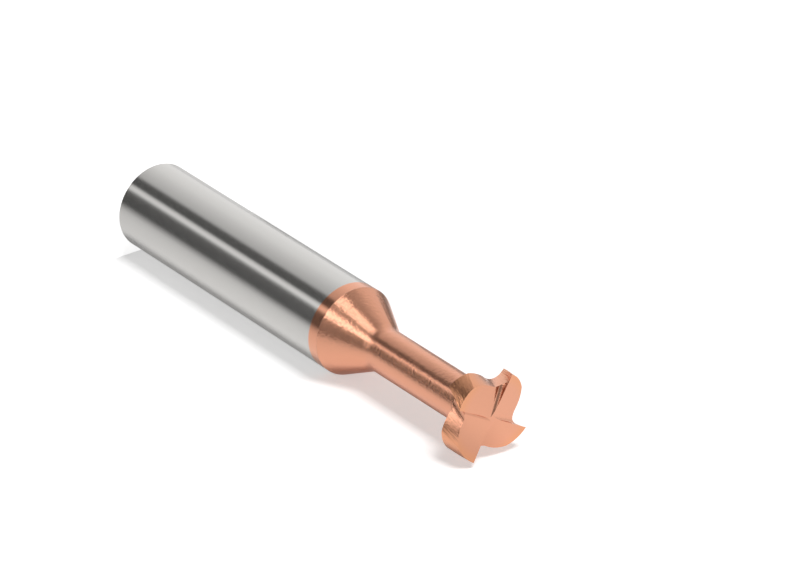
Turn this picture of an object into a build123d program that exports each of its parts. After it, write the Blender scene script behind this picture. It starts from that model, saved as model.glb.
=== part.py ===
"""Solid carbide T-slot cutter with a plain cylindrical shank, a slim neck and a four-tooth head.

The origin is the centre of the shank's end face and +Z runs along the axis to the teeth.
All lengths are in millimetres and all angles in degrees.
"""

import os
from math import cos, degrees, radians, sin, tan

from build123d import *

os.makedirs("parts", exist_ok=True)

# Shank, cone and neck, in order from the held end to the head
shank_diameter = 12.0
shank_length = 44.2
end_chamfer = 0.5
cone_length = 6.1
cone_blend_radius = 3.0
neck_diameter = 5.9
neck_length = 18.7
neck_root_radius = 0.4

# Head
head_diameter = 12.0
cutting_width = 3.5
tooth_count = 4
helix_angle = 28.0

# Outer land of a tooth, which falls away from full radius behind its cutting edge
land_angle = 30.0
land_relief = 0.43
land_crown = 0.08

# Flute between one tooth's back and the next tooth's cutting face
core_radius = 3.62
flute_radius = 1.9
flute_flat = 0.1

# Front end: the edges dip to the centre, and a flat facet slopes away behind each one
dish_angle = 1.8
end_relief_angle = 10.0
gash_radius = 0.45

# Back end: a flat hub round the neck, and a flat facet behind each tooth's back edge
hub_radius = 4.0
back_relief_angle = 4.0
back_facet_angle = 70.0

# How far the grinding wedges reach past the blank
overrun = 2.0

# Sizes that follow
shank_radius = shank_diameter / 2
neck_radius = neck_diameter / 2
head_radius = head_diameter / 2
cone_end = shank_length + cone_length
head_back = cone_end + neck_length
head_front = head_back + cutting_width
tooth_pitch = 360 / tooth_count
helix_turn = degrees(cutting_width * tan(radians(helix_angle)) / head_radius)
dish_depth = head_radius * tan(radians(dish_angle))
wedge_reach = (head_radius + overrun) / cos(radians(tooth_pitch / 2))


def behind_edge(along, behind, edge_angle):
    """Point of the cross-section, measured along a tooth's cutting face and square behind it."""
    turn = radians(edge_angle)
    return (along * cos(turn) + behind * sin(turn), along * sin(turn) - behind * cos(turn))


def at_angle(radius, angle_behind, edge_angle):
    """Point of the cross-section, by its radius and its angle behind a tooth's cutting face."""
    turn = radians(edge_angle - angle_behind)
    return (radius * cos(turn), radius * sin(turn))


# Cross-section of the head at its back face, one tooth after another
with BuildSketch(Plane.XY.offset(head_back)) as head_section:
    with BuildLine():
        for tooth in range(tooth_count):
            edge = -tooth * tooth_pitch - helix_turn
            next_edge = edge - tooth_pitch
            tip = at_angle(head_radius, 0, edge)
            land_middle = at_angle(head_radius - land_relief / 2 + land_crown, land_angle / 2, edge)
            land_end = at_angle(head_radius - land_relief, land_angle, edge)
            root = behind_edge(core_radius, 0, next_edge)
            floor_start = behind_edge(core_radius, -flute_radius - flute_flat, next_edge)
            next_tip = at_angle(head_radius, 0, next_edge)
            ThreePointArc(tip, land_middle, land_end)
            flute_floor = Line(root, floor_start)
            TangentArc(floor_start, land_end, tangent=flute_floor % 1)
            Line(root, next_tip)
    make_face()
    roots = head_section.vertices().sort_by_distance((0, 0))[:tooth_count]
    fillet(roots, flute_radius)

# Head ring, whose teeth and flutes turn with the helix from its back face to its front
toothed_ring = Solid.extrude_linear_with_rotation(
    head_section.sketch.face(), (0, 0, head_back), (0, 0, cutting_width), helix_turn
)

# Wedge ground off the front end behind the first tooth, down to its facet and the gash
edge_line = Vector(cos(radians(dish_angle)), 0, sin(radians(dish_angle)))
down_slope = Vector(0, -cos(radians(end_relief_angle)), -sin(radians(end_relief_angle)))
facet_plane = Plane((0, 0, head_front - dish_depth), x_dir=edge_line, z_dir=down_slope.cross(edge_line))
with BuildPart() as end_wedge:
    with BuildSketch(Plane.XY.offset(head_back)):
        Polygon((0, 0), at_angle(wedge_reach, 0, 0), at_angle(wedge_reach, tooth_pitch, 0), align=None)
    extrude(amount=cutting_width + overrun)
    split(bisect_by=facet_plane, keep=Keep.TOP)
    facet = end_wedge.faces().sort_by(Axis.Z)[0]
    gash_wall = end_wedge.faces().sort_by(Axis.X)[0]
    fillet(facet.edges() & gash_wall.edges(), gash_radius)

# Wedge ground off the back face behind the first tooth's back edge, outside the hub
back_line = Vector(*at_angle(1, 0, -helix_turn), 0)
up_slope = Vector(*behind_edge(0, 1, -helix_turn), tan(radians(back_relief_angle)))
back_plane = Plane((0, 0, head_back), x_dir=back_line, z_dir=back_line.cross(up_slope))
with BuildPart() as back_wedge:
    with BuildSketch(Plane.XY.offset(head_back - overrun)):
        Polygon(
            (0, 0),
            at_angle(wedge_reach, 0, -helix_turn),
            at_angle(wedge_reach, back_facet_angle, -helix_turn),
            align=None,
        )
        Circle(hub_radius, mode=Mode.SUBTRACT)
    extrude(amount=cutting_width)
    split(bisect_by=back_plane, keep=Keep.TOP)

# The cutter: shank, cone and neck turned in one, then the ring of teeth with its ends ground
with BuildPart() as cutter:
    with BuildSketch(Plane.XZ) as half_profile:
        Polygon(
            (0, 0),
            (shank_radius - end_chamfer, 0),
            (shank_radius, end_chamfer),
            (shank_radius, shank_length),
            (neck_radius, cone_end),
            (neck_radius, head_back + cutting_width / 2),
            (0, head_back + cutting_width / 2),
            align=None,
        )
        cone_corner = half_profile.vertices().sort_by_distance((neck_radius, cone_end))[0]
        fillet(cone_corner, cone_blend_radius)
    revolve(axis=Axis.Z)
    add(toothed_ring)
    with BuildSketch(Plane.XZ):
        Polygon(
            (0, head_front - dish_depth),
            (head_radius, head_front),
            (head_radius, head_front + overrun),
            (0, head_front + overrun),
            align=None,
        )
    revolve(axis=Axis.Z, mode=Mode.SUBTRACT)
    with PolarLocations(0, tooth_count):
        add(end_wedge.part, mode=Mode.SUBTRACT)
        add(back_wedge.part, mode=Mode.SUBTRACT)
    circles = cutter.edges().filter_by(GeomType.CIRCLE)
    neck_root = circles.sort_by_distance((0, neck_radius, head_back))[0]
    fillet(neck_root, neck_root_radius)

cutter.part.label = "cutter"
export_step(cutter.part, "parts/cutter.step")
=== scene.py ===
"""Looks and studio for the T-slot cutter: ground carbide with a copper-coloured coating on its front."""

import math

import bpy
from mathutils import Matrix, Vector


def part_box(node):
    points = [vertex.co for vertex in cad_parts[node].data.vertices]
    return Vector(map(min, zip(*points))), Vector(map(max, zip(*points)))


bl_info = {
    "name": "T-slot cutter looks",
    "version": (1, 0, 0),
    "blender": (4, 5, 0),
    "location": "View3D > Sidebar > Cutter",
    "description": "Finishes a solid carbide T-slot cutter and sets its studio",
    "category": "Object",
}

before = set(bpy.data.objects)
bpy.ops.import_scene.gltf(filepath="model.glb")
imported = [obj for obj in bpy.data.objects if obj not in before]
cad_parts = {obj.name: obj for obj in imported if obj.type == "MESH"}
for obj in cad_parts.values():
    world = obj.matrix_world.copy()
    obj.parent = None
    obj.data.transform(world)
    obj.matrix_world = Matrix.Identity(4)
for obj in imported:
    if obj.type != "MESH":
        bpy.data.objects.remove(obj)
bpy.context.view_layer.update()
CUTTER_LOW, CUTTER_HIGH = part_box("cutter")
MM = 0.001
SHANK_RADIUS = CUTTER_HIGH.x
HEAD_FRONT = CUTTER_HIGH.z
CUTTER_MIDDLE = (CUTTER_LOW + CUTTER_HIGH) / 2

# Lights and dark gaps of the studio as reflections show them, as (azimuth in degrees, brightness),
# for reflected rays that go steeply down, a little down, and about level. A pale wall falls off to a
# dark gap, then come an upright strip light and another dark gap, and the pale wall closes the ring.
STUDIO_BELOW = [
    (-180, 0.9), (-60, 1.1), (-10, 0.97), (36, 0.65), (43, 0.1), (62, 0.08),
    (67, 0.85), (76, 0.85), (82, 0.1), (115, 0.07), (125, 0.45), (180, 0.9),
]
STUDIO_MIDDLE = [
    (-180, 0.9), (-60, 0.85), (-10, 0.95), (5, 0.6), (38, 0.2), (66, 0.15),
    (73, 1.7), (81, 1.6), (87, 0.2), (115, 0.2), (180, 0.9),
]
STUDIO_ABOVE = [
    (-180, 0.9), (-60, 0.9), (-24, 0.83), (8, 0.43), (62, 0.4), (67, 1),
    (71, 2.8), (80, 2.7), (87, 0.5), (95, 0.28), (115, 0.28), (125, 0.45), (180, 0.9),
]
# Dim grey of the ceiling over them all
CEILING = (0.3, 0.3, 0.3, 1)
# Elevations in degrees between which each of those gives way to the next
BELOW_TO_MIDDLE = (-43, -38)
MIDDLE_TO_ABOVE = (-17, -7)
ABOVE_TO_CEILING = (17, 30)

# Soft boxes that show only in reflections: name, azimuth, elevation, width and height in degrees as
# seen from the cutter, and brightness. One is the cone's second streak, one lights a tooth's back.
SOFT_BOXES = (
    ("cone_box", 38, 8, 25, 24, 2.3),
    ("flute_box", 97, -21, 26, 11, 1.9),
)

# Dim cards on the paper that show only in reflections: name, width, and height from and to, in mm.
# They darken the thin line along the upper silhouette of the shank and the cone.
FLAGS = (
    ("shank_flag", 6.8, -8, 31),
    ("cone_flag", 13, 31, 50),
)

# Light painted onto the paper for reflections only, as (millimetres to the side of the cutter, brightness).
# It is a painted shadow, dim where the cutter touches the paper, then a painted pool of light brightest just
# beside it, fading away outwards.
PAPER_GLOW = [(-30, 0.3), (-4, 0.38), (0, 0.16), (3, 0.16), (5, 0.26), (9, 0.3), (22, 0.24), (60, 0)]

# Half width of the step from one grinding to the next, too sharp to see as a fade
GRINDING_STEP = 0.025 * MM
# On the head, as shares of its radius, which is the shank's: where the orange of the tips starts,
# and between which the smooth gashes give way to the ground flutes
TIPS_START = 0.7
GASH_END = (0.62, 0.7)
# Upward tilt of a face, as the Z of its normal, between which the ground sides give way to the
# smooth end faces
SIDES_END = (0.6, 0.8)
# How much longer the grinding lines of the flutes are than those round the shank
FLUTE_LINE_STRETCH = 4
# Fine detail of the noise that draws the lines, and how strong it is against the coarse
LINE_DETAIL = 3.0
LINE_DETAIL_SHARE = 0.6
# A quarter of a turn, which lays the wide side of the highlight along the axis
ALONG_AXIS = 0.25

# Width of the camera's sensor in millimetres, and how near and far it sees, as a share of its
# distance and as stage sizes
SENSOR_WIDTH = 36.0
NEAREST_SHARE = 0.01
FARTHEST_STAGES = 10

# Sockets of the Mix node by number, because its pairs of numbers, vectors and colours share names
FACTOR = 0
NUMBERS = (2, 3)
VECTORS = (4, 5)
COLOURS = (6, 7)
MIXED_NUMBER = 0
MIXED_VECTOR = 1
MIXED_COLOUR = 2


def linear(hex_colour):
    """Linear colour of an sRGB hex value such as #C8C6C3."""
    values = [int(hex_colour[i : i + 2], 16) / 255 for i in (1, 3, 5)]
    return [v / 12.92 if v <= 0.04045 else ((v + 0.055) / 1.055) ** 2.4 for v in values]


def add_node(tree, kind, inputs=(), stops=(), **settings):
    """Adds a node with its settings, sets or links its inputs, and returns its outputs.

    The inputs are in the order of the sockets, or a dictionary by their names or numbers. The stops
    are the (place, brightness) pairs of a ramp.
    """
    node = tree.nodes.new(kind)
    for name, value in settings.items():
        setattr(node, name, value)
    for key, value in inputs.items() if isinstance(inputs, dict) else enumerate(inputs):
        if isinstance(value, bpy.types.NodeSocket):
            tree.links.new(value, node.inputs[key])
        else:
            node.inputs[key].default_value = value
    for number, (place, brightness) in enumerate(stops):
        elements = node.color_ramp.elements
        if number >= len(elements):
            elements.new(1.0)
        elements[number].position = place
        elements[number].color = (brightness, brightness, brightness, 1)
    return node.outputs


def direction(azimuth, elevation=0.0):
    """Unit vector by its angle round the axis from +X and its angle above the plane across it."""
    flat = math.cos(elevation)
    return Vector((math.cos(azimuth) * flat, math.sin(azimuth) * flat, math.sin(elevation)))


def empty_material(name):
    """New material without nodes, whose glow is left out of the lamps that light the scene."""
    material = bpy.data.materials.new(name)
    material.use_nodes = True
    material.cycles.emission_sampling = "NONE"
    material.node_tree.nodes.clear()
    return material


class CutterFinish(bpy.types.PropertyGroup):
    """Colours and grinding of the cutter."""

    carbide: bpy.props.FloatVectorProperty(
        name="Bare carbide",
        description="Reflection colour of the ground carbide of the shank",
        subtype="COLOR",
        size=3,
        default=linear("#CFCDCA"),
    )
    coating: bpy.props.FloatVectorProperty(
        name="Coating",
        description="Reflection colour of the hard coating",
        subtype="COLOR",
        size=3,
        default=linear("#E8A688"),
    )
    coating_tips: bpy.props.FloatVectorProperty(
        name="Coating at the tips",
        description="Reflection colour of the coating out at the tooth tips",
        subtype="COLOR",
        size=3,
        default=linear("#ECA67E"),
    )
    coated_length: bpy.props.FloatProperty(
        name="Coated length",
        description="How far the coating reaches back from the front of the head",
        unit="LENGTH",
        default=30.0 * MM,
    )
    coating_fade: bpy.props.FloatProperty(
        name="Coating edge",
        description="Width of the soft edge where the coating starts",
        unit="LENGTH",
        default=0.25 * MM,
    )
    shank_roughness: bpy.props.FloatProperty(
        name="Shank roughness",
        description="Roughness of the finely ground shank",
        subtype="FACTOR",
        min=0.0,
        max=1.0,
        default=0.19,
    )
    neck_roughness: bpy.props.FloatProperty(
        name="Neck roughness",
        description="Roughness of the coarser ground cone and neck, between their grinding lines",
        subtype="FACTOR",
        min=0.0,
        max=1.0,
        default=0.22,
    )
    head_roughness: bpy.props.FloatProperty(
        name="Head roughness",
        description="Roughness of the ground faces of the teeth",
        subtype="FACTOR",
        min=0.0,
        max=1.0,
        default=0.2,
    )
    grain: bpy.props.FloatProperty(
        name="Grain",
        description="How much more the grinding spreads light along the axis than round it",
        subtype="FACTOR",
        min=0.0,
        max=1.0,
        default=0.6,
    )
    line_pitch: bpy.props.FloatProperty(
        name="Grinding line pitch",
        description="Distance between the grinding lines that show",
        unit="LENGTH",
        default=0.25 * MM,
    )
    line_length: bpy.props.FloatProperty(
        name="Grinding line length",
        description="Length of one grinding line",
        unit="LENGTH",
        default=0.7 * MM,
    )
    line_depth: bpy.props.FloatProperty(
        name="Grinding line depth",
        description="Depth of the grinding lines on the cone, neck and flutes",
        unit="LENGTH",
        default=0.055 * MM,
    )
    shank_line_depth: bpy.props.FloatProperty(
        name="Shank line depth",
        description="Depth of the much finer grinding lines on the shank",
        unit="LENGTH",
        default=0.002 * MM,
    )
    shank_end: bpy.props.FloatProperty(
        name="Shank end",
        description="Height at which the ground shank meets the cone",
        unit="LENGTH",
        default=44.2 * MM,
    )
    head_width: bpy.props.FloatProperty(
        name="Head width",
        description="Width of the toothed head along the axis",
        unit="LENGTH",
        default=3.5 * MM,
    )
    helix_turn: bpy.props.FloatProperty(
        name="Helix turn",
        description="Turn of the flutes over the width of the head",
        unit="ROTATION",
        default=math.radians(17.8),
    )


class CutterStage(bpy.types.PropertyGroup):
    """Camera, floor, backdrop and light."""

    view_azimuth: bpy.props.FloatProperty(
        name="View azimuth",
        description="Direction from the cutter to the camera, round the cutter's axis from +X",
        unit="ROTATION",
        default=math.radians(78.057),
    )
    view_elevation: bpy.props.FloatProperty(
        name="View elevation",
        description="Angle of the camera above the plane across the cutter's axis",
        unit="ROTATION",
        default=math.radians(44.519),
    )
    view_roll: bpy.props.FloatProperty(
        name="View roll",
        description="Turn of the camera about its own line of sight",
        unit="ROTATION",
        default=math.radians(121.757),
    )
    view_aim: bpy.props.FloatVectorProperty(
        name="View aim",
        description="Point at the middle of the picture",
        subtype="XYZ",
        size=3,
        unit="LENGTH",
        default=(6.866 * MM, -1.452 * MM, 46.585 * MM),
    )
    view_distance: bpy.props.FloatProperty(
        name="View distance",
        description="Distance from the aim point to the camera",
        unit="LENGTH",
        default=631.19 * MM,
    )
    lens: bpy.props.FloatProperty(
        name="Lens",
        description="Focal length in millimetres on a sensor 36 mm wide",
        subtype="DISTANCE_CAMERA",
        default=227.85,
    )
    backdrop_azimuth: bpy.props.FloatProperty(
        name="Backdrop azimuth",
        description="Direction that the upright backdrop faces, round the cutter's axis from +X",
        unit="ROTATION",
        default=math.radians(29.49),
    )
    backdrop_gap: bpy.props.FloatProperty(
        name="Backdrop gap",
        description="Gap between the shank and the backdrop behind it",
        unit="LENGTH",
        default=0.05 * MM,
    )
    stage_size: bpy.props.FloatProperty(
        name="Stage size",
        description="Side of the floor and of the backdrop",
        unit="LENGTH",
        default=3.0,
    )
    paper: bpy.props.FloatVectorProperty(
        name="Paper",
        description="Colour of the floor and backdrop",
        subtype="COLOR",
        size=3,
        default=linear("#E8E8E8"),
    )
    backdrop_lift: bpy.props.FloatProperty(
        name="Backdrop lift",
        description="Light added to the backdrop for the camera, so that it reads white",
        subtype="FACTOR",
        min=0.0,
        max=1.0,
        default=0.49,
    )
    floor_lift: bpy.props.FloatProperty(
        name="Floor lift",
        description="Light added to the floor for the camera, so that it reads as white as the backdrop",
        subtype="FACTOR",
        min=0.0,
        max=1.0,
        default=0.8,
    )
    flag_distance: bpy.props.FloatProperty(
        name="Flag distance",
        description="Distance from the cutter's axis to the dim grey cards beside it",
        unit="LENGTH",
        default=28 * MM,
    )
    flag_grey: bpy.props.FloatProperty(
        name="Flag grey",
        description="Brightness of the dim grey cards in reflections",
        subtype="FACTOR",
        min=0.0,
        max=1.0,
        default=0.3,
    )
    key_strength: bpy.props.FloatProperty(
        name="Key light",
        description="Power of the soft light in front of the backdrop, in watts",
        unit="POWER",
        default=2.6,
    )
    key_size: bpy.props.FloatProperty(
        name="Key size",
        description="Side of the square key light, which sets how soft the shadows are",
        unit="LENGTH",
        default=0.2,
    )
    key_distance: bpy.props.FloatProperty(
        name="Key distance",
        description="Distance from the cutter to the key light",
        unit="LENGTH",
        default=0.6,
    )
    key_elevation: bpy.props.FloatProperty(
        name="Key elevation",
        description="Angle of the key light above the plane across the cutter's axis",
        unit="ROTATION",
        default=math.radians(25),
    )
    box_distance: bpy.props.FloatProperty(
        name="Soft box distance",
        description="Distance from the cutter to the soft boxes that show in reflections",
        unit="LENGTH",
        default=0.6,
    )
    world_strength: bpy.props.FloatProperty(
        name="Room light",
        description="Strength of the even light from all round",
        default=0.12,
    )


def ground_carbide(finish):
    """Solid tungsten carbide, ground with a diamond wheel, with a vapour-deposited hard coating on its front.

    Bare ground carbide is a cool, slightly dull steel grey with crisp bands of light along the shank.
    The coating is a metallic copper-pink that follows the grinding beneath it: the cone, neck and
    flutes are ground coarser than the shank, so there the bands break up into glitter.
    """
    material = empty_material("ground_carbide_coated_front")
    tree = material.node_tree
    place = add_node(tree, "ShaderNodeTexCoord")["Object"]
    height = add_node(tree, "ShaderNodeSeparateXYZ", (place,))["Z"]
    flat = add_node(tree, "ShaderNodeVectorMath", (place, (1, 1, 0)), operation="MULTIPLY")[0]
    radius = add_node(tree, "ShaderNodeVectorMath", (flat,), operation="LENGTH")["Value"]

    # Where the coating, the coarser grinding and the head start, each as a soft step along the axis:
    # the middle of the step and half its width
    starts = {
        "coated": (HEAD_FRONT - finish.coated_length, finish.coating_fade / 2),
        "coarse": (finish.shank_end, GRINDING_STEP),
        "head": (HEAD_FRONT - finish.head_width, GRINDING_STEP),
    }
    on = {}
    for name, (start, half) in starts.items():
        step = {"Value": height, "From Min": start - half, "From Max": start + half}
        on[name] = add_node(tree, "ShaderNodeMapRange", step, interpolation_type="SMOOTHSTEP")["Result"]

    # Copper colour, pinker in the middle and more orange towards the tooth tips
    outward = {
        "Value": radius,
        "From Min": TIPS_START * SHANK_RADIUS,
        "From Max": SHANK_RADIUS,
        "To Max": on["head"],
    }
    tips = add_node(tree, "ShaderNodeMapRange", outward, interpolation_type="SMOOTHSTEP")["Result"]
    copper = {FACTOR: tips, COLOURS[0]: (*finish.coating, 1), COLOURS[1]: (*finish.coating_tips, 1)}
    copper = add_node(tree, "ShaderNodeMix", copper, data_type="RGBA")[MIXED_COLOUR]
    colour = {FACTOR: on["coated"], COLOURS[0]: (*finish.carbide, 1), COLOURS[1]: copper}
    colour = add_node(tree, "ShaderNodeMix", colour, data_type="RGBA")[MIXED_COLOUR]

    # Grinding lines run round the shank, cone and neck, and along the helix of the flutes on the head.
    # Real ones are a few hundredths of a millimetre apart, too fine to show, so they are drawn coarser.
    round_scale = (1 / finish.line_length, 1 / finish.line_length, 1 / finish.line_pitch)
    round_place = add_node(tree, "ShaderNodeVectorMath", (place, round_scale), operation="MULTIPLY")[0]
    turn_rate = -finish.helix_turn / finish.head_width
    turn = add_node(tree, "ShaderNodeMath", (height, turn_rate), operation="MULTIPLY")[0]
    untwist = {"Vector": place, "Angle": turn}
    straight = add_node(tree, "ShaderNodeVectorRotate", untwist, rotation_type="Z_AXIS")[0]
    flute_line_length = FLUTE_LINE_STRETCH * finish.line_length
    flute_scale = (1 / finish.line_pitch, 1 / finish.line_pitch, 1 / flute_line_length)
    flute_place = add_node(tree, "ShaderNodeVectorMath", (straight, flute_scale), operation="MULTIPLY")[0]
    line_place = {FACTOR: on["head"], VECTORS[0]: round_place, VECTORS[1]: flute_place}
    line_place = add_node(tree, "ShaderNodeMix", line_place, data_type="VECTOR")[MIXED_VECTOR]
    lines = {"Vector": line_place, "Scale": 1.0, "Detail": LINE_DETAIL, "Roughness": LINE_DETAIL_SHARE}
    lines = add_node(tree, "ShaderNodeTexNoise", lines)["Fac"]

    # The end faces of the teeth and the narrow gashes between them are smooth, and the shank is
    # ground much finer
    normal = add_node(tree, "ShaderNodeNewGeometry")["Normal"]
    facing = add_node(tree, "ShaderNodeSeparateXYZ", (normal,))["Z"]
    sides = add_node(tree, "ShaderNodeMapRange", (facing, *SIDES_END, 1.0, 0.0))["Result"]
    gash_from, gash_to = [share * SHANK_RADIUS for share in GASH_END]
    outer = add_node(tree, "ShaderNodeMapRange", (radius, gash_from, gash_to))["Result"]
    outer = {FACTOR: on["head"], NUMBERS[0]: 1.0, NUMBERS[1]: outer}
    outer = add_node(tree, "ShaderNodeMix", outer)[MIXED_NUMBER]
    sides = add_node(tree, "ShaderNodeMath", (sides, outer), operation="MULTIPLY")[0]
    shank_share = finish.shank_line_depth / finish.line_depth
    share = {"Value": on["coarse"], "To Min": shank_share, "To Max": sides}
    share = add_node(tree, "ShaderNodeMapRange", share)["Result"]
    depth = add_node(tree, "ShaderNodeMath", (lines, share), operation="MULTIPLY")[0]
    bump = {"Strength": 1.0, "Distance": finish.line_depth, "Height": depth}
    bump = add_node(tree, "ShaderNodeBump", bump)["Normal"]

    # Coarser grinding is duller, and all of it spreads light more along the axis than round it
    roughness = {FACTOR: on["coarse"], NUMBERS[0]: finish.shank_roughness, NUMBERS[1]: finish.neck_roughness}
    roughness = add_node(tree, "ShaderNodeMix", roughness)[MIXED_NUMBER]
    roughness = {FACTOR: on["head"], NUMBERS[0]: roughness, NUMBERS[1]: finish.head_roughness}
    roughness = add_node(tree, "ShaderNodeMix", roughness)[MIXED_NUMBER]
    tangent = add_node(tree, "ShaderNodeTangent", direction_type="RADIAL", axis="Z")[0]
    surface = {
        "Base Color": colour,
        "Metallic": 1.0,
        "Roughness": roughness,
        "Anisotropic": finish.grain,
        "Anisotropic Rotation": ALONG_AXIS,
        "Tangent": tangent,
        "Normal": bump,
    }
    shader = add_node(tree, "ShaderNodeBsdfPrincipled", surface)[0]
    add_node(tree, "ShaderNodeOutputMaterial", (shader,))
    return material


class CUTTER_OT_finish(bpy.types.Operator):
    """Gives the cutter its ground and coated surface"""

    bl_idname = "cutter.finish"
    bl_label = "Finish the cutter"

    def execute(self, context):
        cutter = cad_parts["cutter"]
        cutter.material_slots[0].material = ground_carbide(context.scene.cutter_finish)
        return {"FINISHED"}


def add_sheet(name, corner, along, up, material):
    """Flat sheet with its lower corner at a point, between two edge vectors."""
    mesh = bpy.data.meshes.new(name)
    mesh.from_pydata([corner, corner + along, corner + along + up, corner + up], [], [(0, 1, 2, 3)])
    mesh.materials.append(material)
    sheet = bpy.data.objects.new(name, mesh)
    bpy.context.scene.collection.objects.link(sheet)
    return sheet


def white_paper(stage, name, lift, open_back):
    """Matt white background paper, which keeps soft shadows and reads white to the camera.

    In reflections it glows as PAPER_GLOW says: a painted shadow under the cutter and a painted
    pool of light beside it. Its back can be open, so that it hides nothing from behind.
    """
    material = empty_material(name)
    tree = material.node_tree
    matt = add_node(tree, "ShaderNodeBsdfDiffuse", ((*stage.paper, 1),))[0]
    path = add_node(tree, "ShaderNodeLightPath")
    place = add_node(tree, "ShaderNodeTexCoord")["Object"]
    # Painted shadow under the cutter and painted pool of light beside it, added only for reflected rays
    side = direction(stage.backdrop_azimuth + math.pi / 2)
    across = add_node(tree, "ShaderNodeVectorMath", (place, side), operation="DOT_PRODUCT")["Value"]
    first, last = PAPER_GLOW[0][0], PAPER_GLOW[-1][0]
    across = add_node(tree, "ShaderNodeMapRange", (across, first * MM, last * MM))["Result"]
    stops = [((distance - first) / (last - first), value) for distance, value in PAPER_GLOW]
    painted_pool = add_node(tree, "ShaderNodeValToRGB", (across,), stops)[0]
    mirrored = add_node(tree, "ShaderNodeMath", (path["Is Glossy Ray"], path["Is Transmission Ray"]))[0]
    mirrored = add_node(tree, "ShaderNodeMath", (mirrored, painted_pool), operation="MULTIPLY")[0]
    seen = (path["Is Camera Ray"], lift, mirrored)
    seen = add_node(tree, "ShaderNodeMath", seen, operation="MULTIPLY_ADD")[0]
    glow = add_node(tree, "ShaderNodeEmission", ((1, 1, 1, 1), seen))[0]
    surface = add_node(tree, "ShaderNodeAddShader", (matt, glow))[0]
    if open_back:
        behind = add_node(tree, "ShaderNodeNewGeometry")["Backfacing"]
        clear = add_node(tree, "ShaderNodeBsdfTransparent")[0]
        surface = add_node(tree, "ShaderNodeMixShader", (behind, surface, clear))[0]
    add_node(tree, "ShaderNodeOutputMaterial", (surface,))
    return material


def add_card(name, centre, across, up, brightness):
    """Face of a soft box, or a dim card. It shows only in reflections, and lights and shades nothing."""
    material = empty_material(name)
    tree = material.node_tree
    glow = add_node(tree, "ShaderNodeEmission", {"Strength": brightness})[0]
    add_node(tree, "ShaderNodeOutputMaterial", (glow,))
    card = add_sheet(name, centre - across / 2 - up / 2, across, up, material)
    card.visible_camera = card.visible_diffuse = card.visible_shadow = False


def add_camera(stage):
    """Camera at the photograph's view of the cutter."""
    data = bpy.data.cameras.new("camera")
    data.sensor_width = SENSOR_WIDTH
    data.lens = stage.lens
    camera = bpy.data.objects.new("camera", data)
    bpy.context.scene.collection.objects.link(camera)
    back = direction(stage.view_azimuth, stage.view_elevation)
    turn = Matrix.Rotation(stage.view_azimuth + math.pi / 2, 4, "Z")
    tilt = Matrix.Rotation(math.pi / 2 - stage.view_elevation, 4, "X")
    roll = Matrix.Rotation(stage.view_roll, 4, "Z")
    place = Matrix.Translation(Vector(stage.view_aim) + back * stage.view_distance)
    camera.matrix_world = place @ turn @ tilt @ roll
    data.clip_start = stage.view_distance * NEAREST_SHARE
    data.clip_end = stage.stage_size * FARTHEST_STAGES
    bpy.context.scene.camera = camera


def add_key(stage):
    """Square soft light aimed at the cutter's middle, which does not show in reflections."""
    data = bpy.data.lights.new("key", "AREA")
    data.shape = "SQUARE"
    data.size = stage.key_size
    data.energy = stage.key_strength
    lamp = bpy.data.objects.new("key", data)
    bpy.context.scene.collection.objects.link(lamp)
    away = direction(stage.backdrop_azimuth, stage.key_elevation)
    lamp.location = CUTTER_MIDDLE + away * stage.key_distance
    lamp.rotation_euler = away.to_track_quat("Z", "Y").to_euler()
    lamp.visible_camera = False
    lamp.visible_glossy = False


def add_room(stage):
    """White room for the camera, even light from all round, and the studio in reflections."""
    world = bpy.data.worlds.new("studio")
    bpy.context.scene.world = world
    world.use_nodes = True
    world.cycles.sampling_method = "NONE"
    tree = world.node_tree
    tree.nodes.clear()
    ray = add_node(tree, "ShaderNodeTexCoord")["Generated"]
    turn = add_node(tree, "ShaderNodeTexGradient", (ray,), gradient_type="RADIAL")["Fac"]
    rise = add_node(tree, "ShaderNodeSeparateXYZ", (ray,))["Z"]
    bands = []
    for band in (STUDIO_BELOW, STUDIO_MIDDLE, STUDIO_ABOVE):
        stops = [((azimuth + 180) / 360, brightness) for azimuth, brightness in band]
        bands.append(add_node(tree, "ShaderNodeValToRGB", (turn,), stops)[0])
    studio, middle, above = bands
    steps = ((BELOW_TO_MIDDLE, middle), (MIDDLE_TO_ABOVE, above), (ABOVE_TO_CEILING, CEILING))
    for (low, high), band in steps:
        step = (rise, math.sin(math.radians(low)), math.sin(math.radians(high)))
        step = add_node(tree, "ShaderNodeMapRange", step, interpolation_type="SMOOTHSTEP")["Result"]
        studio = {FACTOR: step, COLOURS[0]: studio, COLOURS[1]: band}
        studio = add_node(tree, "ShaderNodeMix", studio, data_type="RGBA")[MIXED_COLOUR]
    path = add_node(tree, "ShaderNodeLightPath")
    mirrored = add_node(tree, "ShaderNodeMath", (path["Is Glossy Ray"], path["Is Transmission Ray"]))[0]
    lit = {FACTOR: mirrored, NUMBERS[0]: stage.world_strength, NUMBERS[1]: studio}
    lit = add_node(tree, "ShaderNodeMix", lit)[MIXED_NUMBER]
    seen = {FACTOR: path["Is Camera Ray"], NUMBERS[0]: lit, NUMBERS[1]: 1.0}
    seen = add_node(tree, "ShaderNodeMix", seen)[MIXED_NUMBER]
    background = add_node(tree, "ShaderNodeBackground", ((1, 1, 1, 1), seen))[0]
    add_node(tree, "ShaderNodeOutputWorld", (background,))


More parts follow.
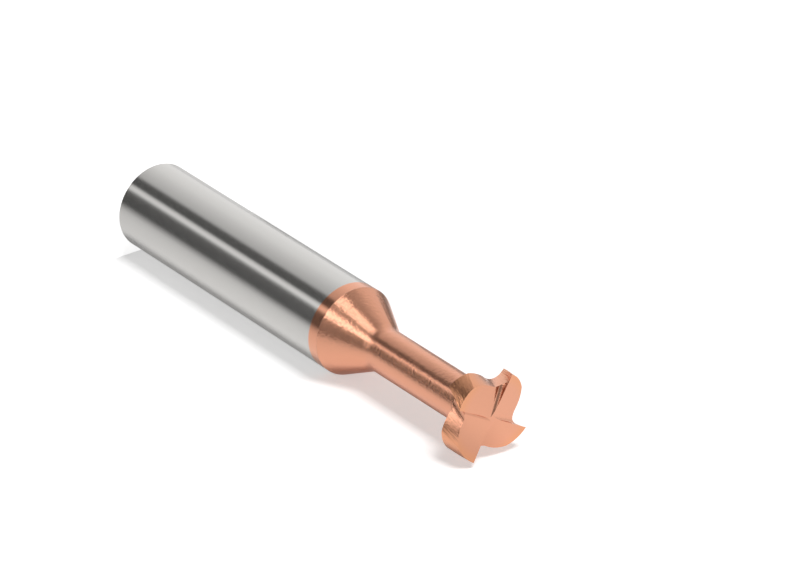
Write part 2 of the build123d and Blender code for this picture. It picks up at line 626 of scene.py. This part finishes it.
class CUTTER_OT_stage(bpy.types.Operator):
    """Sets the camera, the pale floor and backdrop, and the soft light"""

    bl_idname = "cutter.stage"
    bl_label = "Set the stage"

    def execute(self, context):
        stage = context.scene.cutter_stage
        add_camera(stage)
        add_room(stage)
        half = stage.stage_size / 2
        facing = direction(stage.backdrop_azimuth)
        along = direction(stage.backdrop_azimuth + math.pi / 2) * stage.stage_size

        # The floor that the cutter stands on shows only to the camera, and keeps its shadow
        floor_paper = white_paper(stage, "floor_paper", stage.floor_lift, False)
        corner = -facing * half - along / 2
        floor = add_sheet("floor", corner, facing * stage.stage_size, along, floor_paper)
        floor.visible_glossy = floor.visible_diffuse = floor.visible_shadow = False

        # The backdrop stands right behind the shank, as the paper that a lying cutter would lie on
        backdrop_paper = white_paper(stage, "backdrop_paper", stage.backdrop_lift, True)
        behind = -facing * (SHANK_RADIUS + stage.backdrop_gap)
        corner = behind - along / 2 - Vector((0, 0, half))
        add_sheet("backdrop", corner, along, Vector((0, 0, stage.stage_size)), backdrop_paper)

        # What shows only in reflections: dim cards on the paper and soft boxes further off
        aside = direction(stage.backdrop_azimuth - math.pi / 2) * stage.flag_distance
        for name, width, low, high in FLAGS:
            middle = Vector((0, 0, (low + high) * MM / 2))
            centre = aside + facing * (width * MM / 2 - SHANK_RADIUS) + middle
            up = Vector((0, 0, (high - low) * MM))
            add_card(name, centre, facing * width * MM, up, stage.flag_grey)
        for name, *angles, brightness in SOFT_BOXES:
            azimuth, elevation, width, height = [math.radians(angle) for angle in angles]
            centre = CUTTER_MIDDLE + direction(azimuth, elevation) * stage.box_distance
            across = direction(azimuth + math.pi / 2) * stage.box_distance * 2 * math.tan(width / 2)
            up = direction(azimuth, elevation + math.pi / 2) * stage.box_distance * 2 * math.tan(height / 2)
            add_card(name, centre, across, up, brightness)
        add_key(stage)
        context.scene.view_settings.view_transform = "Standard"
        return {"FINISHED"}


class CUTTER_PT_panel(bpy.types.Panel):
    """Lists the cutter's finish and its stage"""

    bl_idname = "CUTTER_PT_panel"
    bl_label = "T-slot cutter"
    bl_space_type = "VIEW_3D"
    bl_region_type = "UI"
    bl_category = "Cutter"

    def draw(self, context):
        scene = context.scene
        for group, operator in ((scene.cutter_finish, "cutter.finish"), (scene.cutter_stage, "cutter.stage")):
            for name in type(group).__annotations__:
                self.layout.prop(group, name)
            self.layout.operator(operator)


CLASSES = (CutterFinish, CutterStage, CUTTER_OT_finish, CUTTER_OT_stage, CUTTER_PT_panel)


def register():
    for cls in CLASSES:
        bpy.utils.register_class(cls)
    bpy.types.Scene.cutter_finish = bpy.props.PointerProperty(type=CutterFinish)
    bpy.types.Scene.cutter_stage = bpy.props.PointerProperty(type=CutterStage)


def unregister():
    del bpy.types.Scene.cutter_stage
    del bpy.types.Scene.cutter_finish
    for cls in reversed(CLASSES):
        bpy.utils.unregister_class(cls)


def main():
    """Registers the add-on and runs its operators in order."""
    register()
    bpy.ops.cutter.finish()
    bpy.ops.cutter.stage()


if __name__ == "__main__":
    main()
